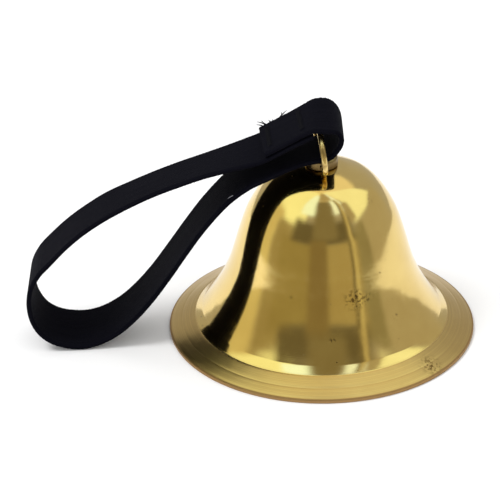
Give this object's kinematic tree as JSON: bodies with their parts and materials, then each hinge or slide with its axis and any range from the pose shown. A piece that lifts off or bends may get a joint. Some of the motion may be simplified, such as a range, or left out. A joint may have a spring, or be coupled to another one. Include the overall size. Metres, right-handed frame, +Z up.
{
  "type": "hand bell",
  "caption": "Flared brass bell that stands on its rim, with a crown knob and D-ring, a black webbing hand strap and a clapper hung inside.",
  "frame": {"origin": "middle of the whole object's footprint, on the plane it stands on", "axes": "+X from the strap's hand loop towards the bell, +Y away from the viewer, +Z up along the bell's axis"},
  "size_m": [0.1886, 0.13, 0.1005],
  "materials": {
    "bell_shell": "polished",
    "crown_knob": "aged",
    "inner_washer": "aged",
    "eye_nut": "aged",
    "hanger_ring": "aged",
    "strap_webbing": "woven",
    "strap_tack_1": "thread",
    "strap_tack_2": "thread",
    "clapper_link": "dull",
    "clapper_rod": "dull",
    "clapper_ball": "aged"
  },
  "bodies": {
    "bell": {"bell_shell": "bell_shell", "crown_knob": "crown_knob", "inner_washer": "inner_washer", "eye_nut": "eye_nut"},
    "ring": {"hanger_ring": "hanger_ring"},
    "strap": {"strap_webbing": "strap_webbing", "strap_tack_1": "strap_tack_1", "strap_tack_2": "strap_tack_2"},
    "link": {"clapper_link": "clapper_link"},
    "clapper": {"clapper_rod": "clapper_rod", "clapper_ball": "clapper_ball"}
  },
  "joints": [
    {"name": "ring_swing", "type": "hinge", "parent": "bell", "child": "ring", "pos_m": [0.02925, 0, 0.0775], "axis": [-0.0872, 0.9962, 0], "range_deg": [0, 33]},
    {"name": "strap_swing", "type": "hinge", "parent": "ring", "child": "strap", "pos_m": [0.02767, -0.00014, 0.09433], "axis": [-0.0872, 0.9962, 0], "range_deg": [0, 44]},
    {"name": "link_swing", "type": "hinge", "parent": "bell", "child": "link", "pos_m": [0.02925, 0, 0.0599], "axis": [1, 0, 0], "range_deg": [-20, 20]},
    {"name": "clapper_swing", "type": "hinge", "parent": "link", "child": "clapper", "pos_m": [0.02925, 0, 0.0544], "axis": [0, 1, 0], "range_deg": [-38, 38]}
  ]
}
